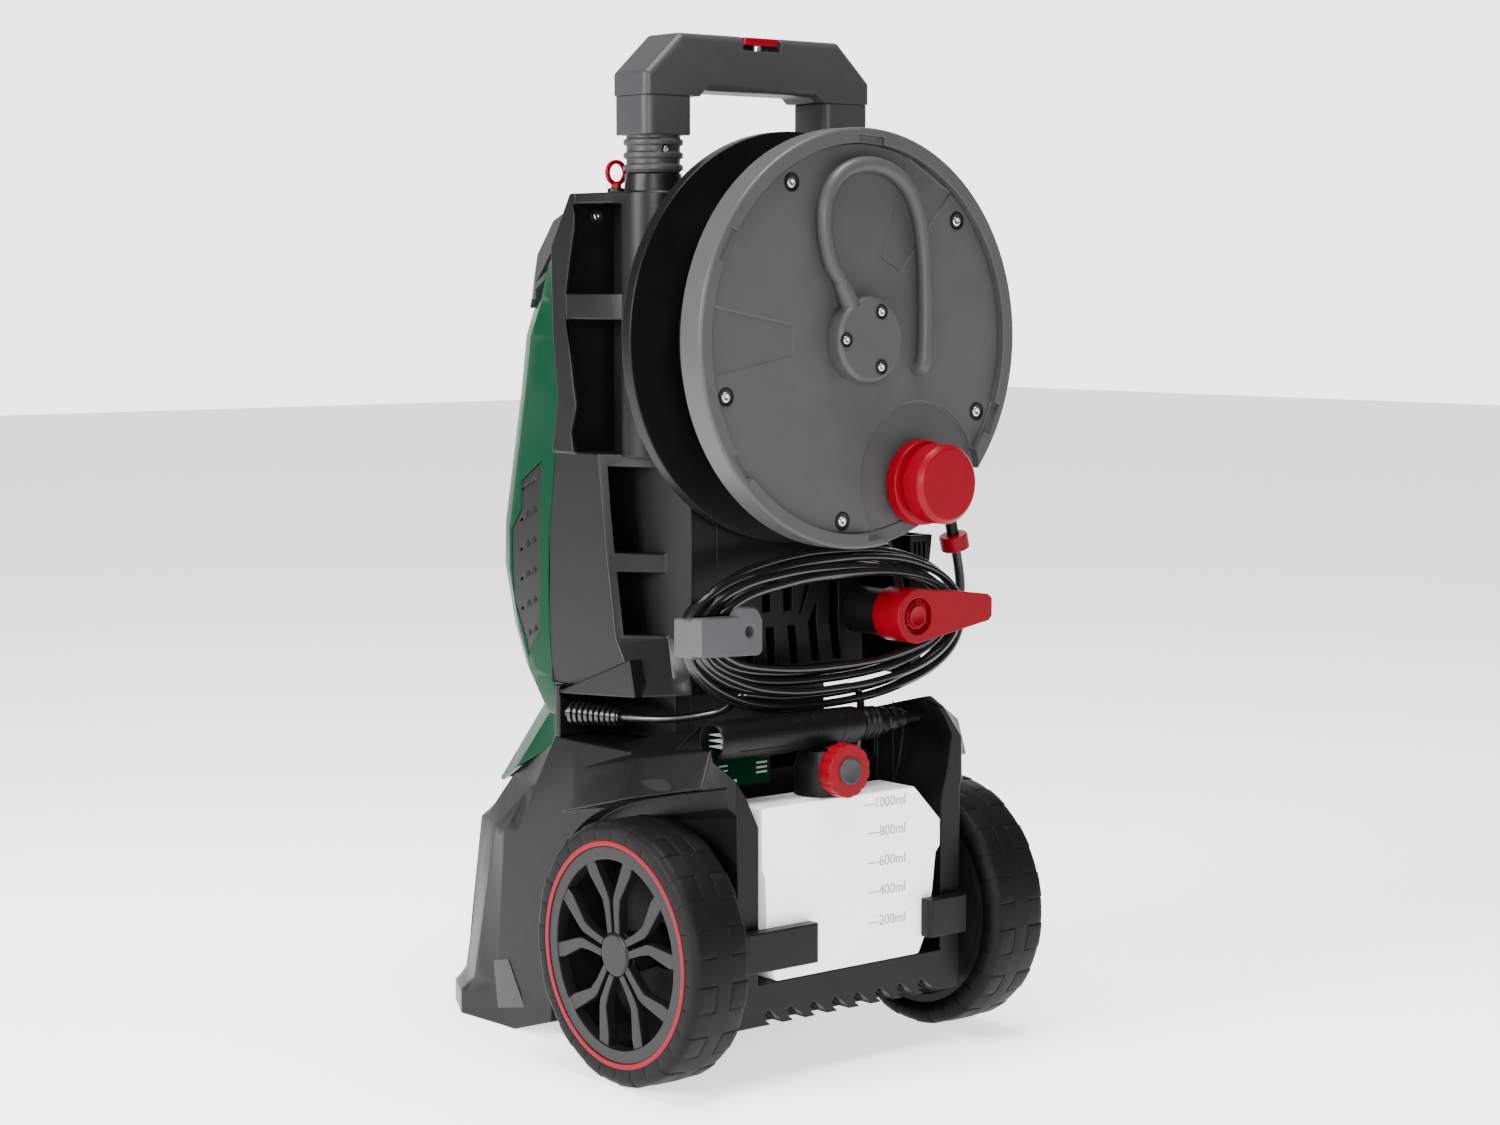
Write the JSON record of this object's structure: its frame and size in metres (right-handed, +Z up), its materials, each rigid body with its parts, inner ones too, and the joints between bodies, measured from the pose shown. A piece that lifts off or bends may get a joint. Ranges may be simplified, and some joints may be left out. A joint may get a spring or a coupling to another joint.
{
  "type": "pressure washer",
  "caption": "Upright electric pressure washer on two wheels with a rear hose reel, telescopic handle, foam bottle and cable hooks.",
  "frame": {"origin": "on the floor, at the middle of the machine's footprint", "axes": "+Z up, -Y towards the control side and foot, +Y towards the hose reel and bottle, +X to the machine's left seen from the reel side"},
  "size_m": [0.398, 0.462, 0.88],
  "materials": {
    "black_plastic": "fine moulded texture",
    "grey_plastic": "satin moulded",
    "rim_plastic": "satin moulded",
    "green_plastic": "semi-gloss moulded",
    "red_plastic": "semi-gloss moulded",
    "tyre": "blow-moulded tread",
    "steel": "bright drawn",
    "brass": "turned",
    "pump_metal": "die cast",
    "switch_plastic": "moulded",
    "bottle_plastic": "translucent white polythene",
    "cable_rubber": "smooth sheath",
    "hose_rubber": "smooth sheath"
  },
  "bodies": {
    "washer": {"base_shell": "black_plastic", "rear_housing": "black_plastic", "accessory_holders": "black_plastic", "front_cover": "green_plastic", "green_skirt": "green_plastic", "front_grip": "grey_plastic", "front_panel": "grey_plastic", "side_vents": "grey_plastic", "rear_grille": "black_plastic", "cable_hook_fixed": "black_plastic", "gun_holder": "black_plastic", "axle": "steel", "reel_shaft": "steel", "bottle_clamps": "black_plastic", "foam_bottle": "bottle_plastic", "bottle_collar": "black_plastic", "pickup_tube": "bottle_plastic", "foam_nozzle": "black_plastic", "strain_relief": "cable_rubber", "mains_leads": "cable_rubber", "mains_coil": "cable_rubber", "mains_plug": "cable_rubber", "hose_tail": "hose_rubber", "hose_coupling": "red_plastic", "hose_nipple": "steel", "motor_housing": "pump_metal", "bearings": "steel", "pump_body": "pump_metal", "pump_pistons": "steel", "pump_head": "pump_metal", "switch_box": "switch_plastic", "water_inlet": "brass", "pressure_outlet": "brass"},
    "wheel_left": {"tyre_left": "tyre", "rim_left": "rim_plastic", "hub_cap_left": "rim_plastic"},
    "wheel_right": {"tyre_right": "tyre", "rim_right": "rim_plastic", "hub_cap_right": "rim_plastic"},
    "reel": {"reel_rear_flange": "black_plastic", "reel_drum": "black_plastic", "reel_front_ring": "black_plastic", "reel_cover": "grey_plastic", "reel_screws": "steel", "hose_swivel": "grey_plastic", "swivel_pipe": "grey_plastic", "crank_pin": "grey_plastic", "hose_winding": "hose_rubber"},
    "crank": {"crank_knob": "red_plastic"},
    "handle": {"handle_grip": "grey_plastic", "handle_legs": "grey_plastic", "handle_tubes": "steel", "button_spring": "steel"},
    "button": {"release_button": "red_plastic"},
    "cable_hook": {"cable_hook_turning": "red_plastic"},
    "needle": {"cleaning_needle": "red_plastic"},
    "dosing": {"dosing_knob": "red_plastic"},
    "switch": {"power_switch": "red_plastic"},
    "rotor": {"motor_rotor": "steel", "wobble_plate": "steel"}
  },
  "joints": [
    {"name": "wheel_left_spin", "type": "hinge", "parent": "washer", "child": "wheel_left", "pos_m": [0.169, 0.107, 0.112], "axis": [1, 0, 0], "continuous": true},
    {"name": "wheel_right_spin", "type": "hinge", "parent": "washer", "child": "wheel_right", "pos_m": [-0.169, 0.107, 0.112], "axis": [1, 0, 0], "continuous": true},
    {"name": "reel_spin", "type": "hinge", "parent": "washer", "child": "reel", "pos_m": [0, 0.14, 0.622], "axis": [0, 1, 0], "continuous": true},
    {"name": "crank_spin", "type": "hinge", "parent": "reel", "child": "crank", "pos_m": [-0.066, 0.21, 0.4995], "axis": [0, 1, 0], "continuous": true},
    {"name": "handle_slide", "type": "slide", "parent": "washer", "child": "handle", "axis": [0, 0, 1], "range_m": [0, 0.16]},
    {"name": "button_press", "type": "slide", "parent": "handle", "child": "button", "axis": [0, 0, -1], "range_m": [0, 0.004], "stiffness_N_per_m": 800, "deforming": ["button_spring"]},
    {"name": "hook_turn", "type": "hinge", "parent": "washer", "child": "cable_hook", "pos_m": [-0.0925, 0.15, 0.38], "axis": [0, 1, 0], "range_deg": [0, 180]},
    {"name": "needle_lift", "type": "slide", "parent": "washer", "child": "needle", "axis": [0, 0, 1], "range_m": [0, 0.04]},
    {"name": "dosing_turn", "type": "hinge", "parent": "washer", "child": "dosing", "pos_m": [0.016, 0.19, 0.259], "axis": [0, 1, 0], "range_deg": [0, 270]},
    {"name": "power_turn", "type": "hinge", "parent": "washer", "child": "switch", "pos_m": [0, -0.19, 0.56], "axis": [0, -1, 0], "range_deg": [0, 90]},
    {"name": "rotor_spin", "type": "hinge", "parent": "washer", "child": "rotor", "pos_m": [0, -0.072, 0.3], "axis": [0, 0, 1], "continuous": true}
  ]
}
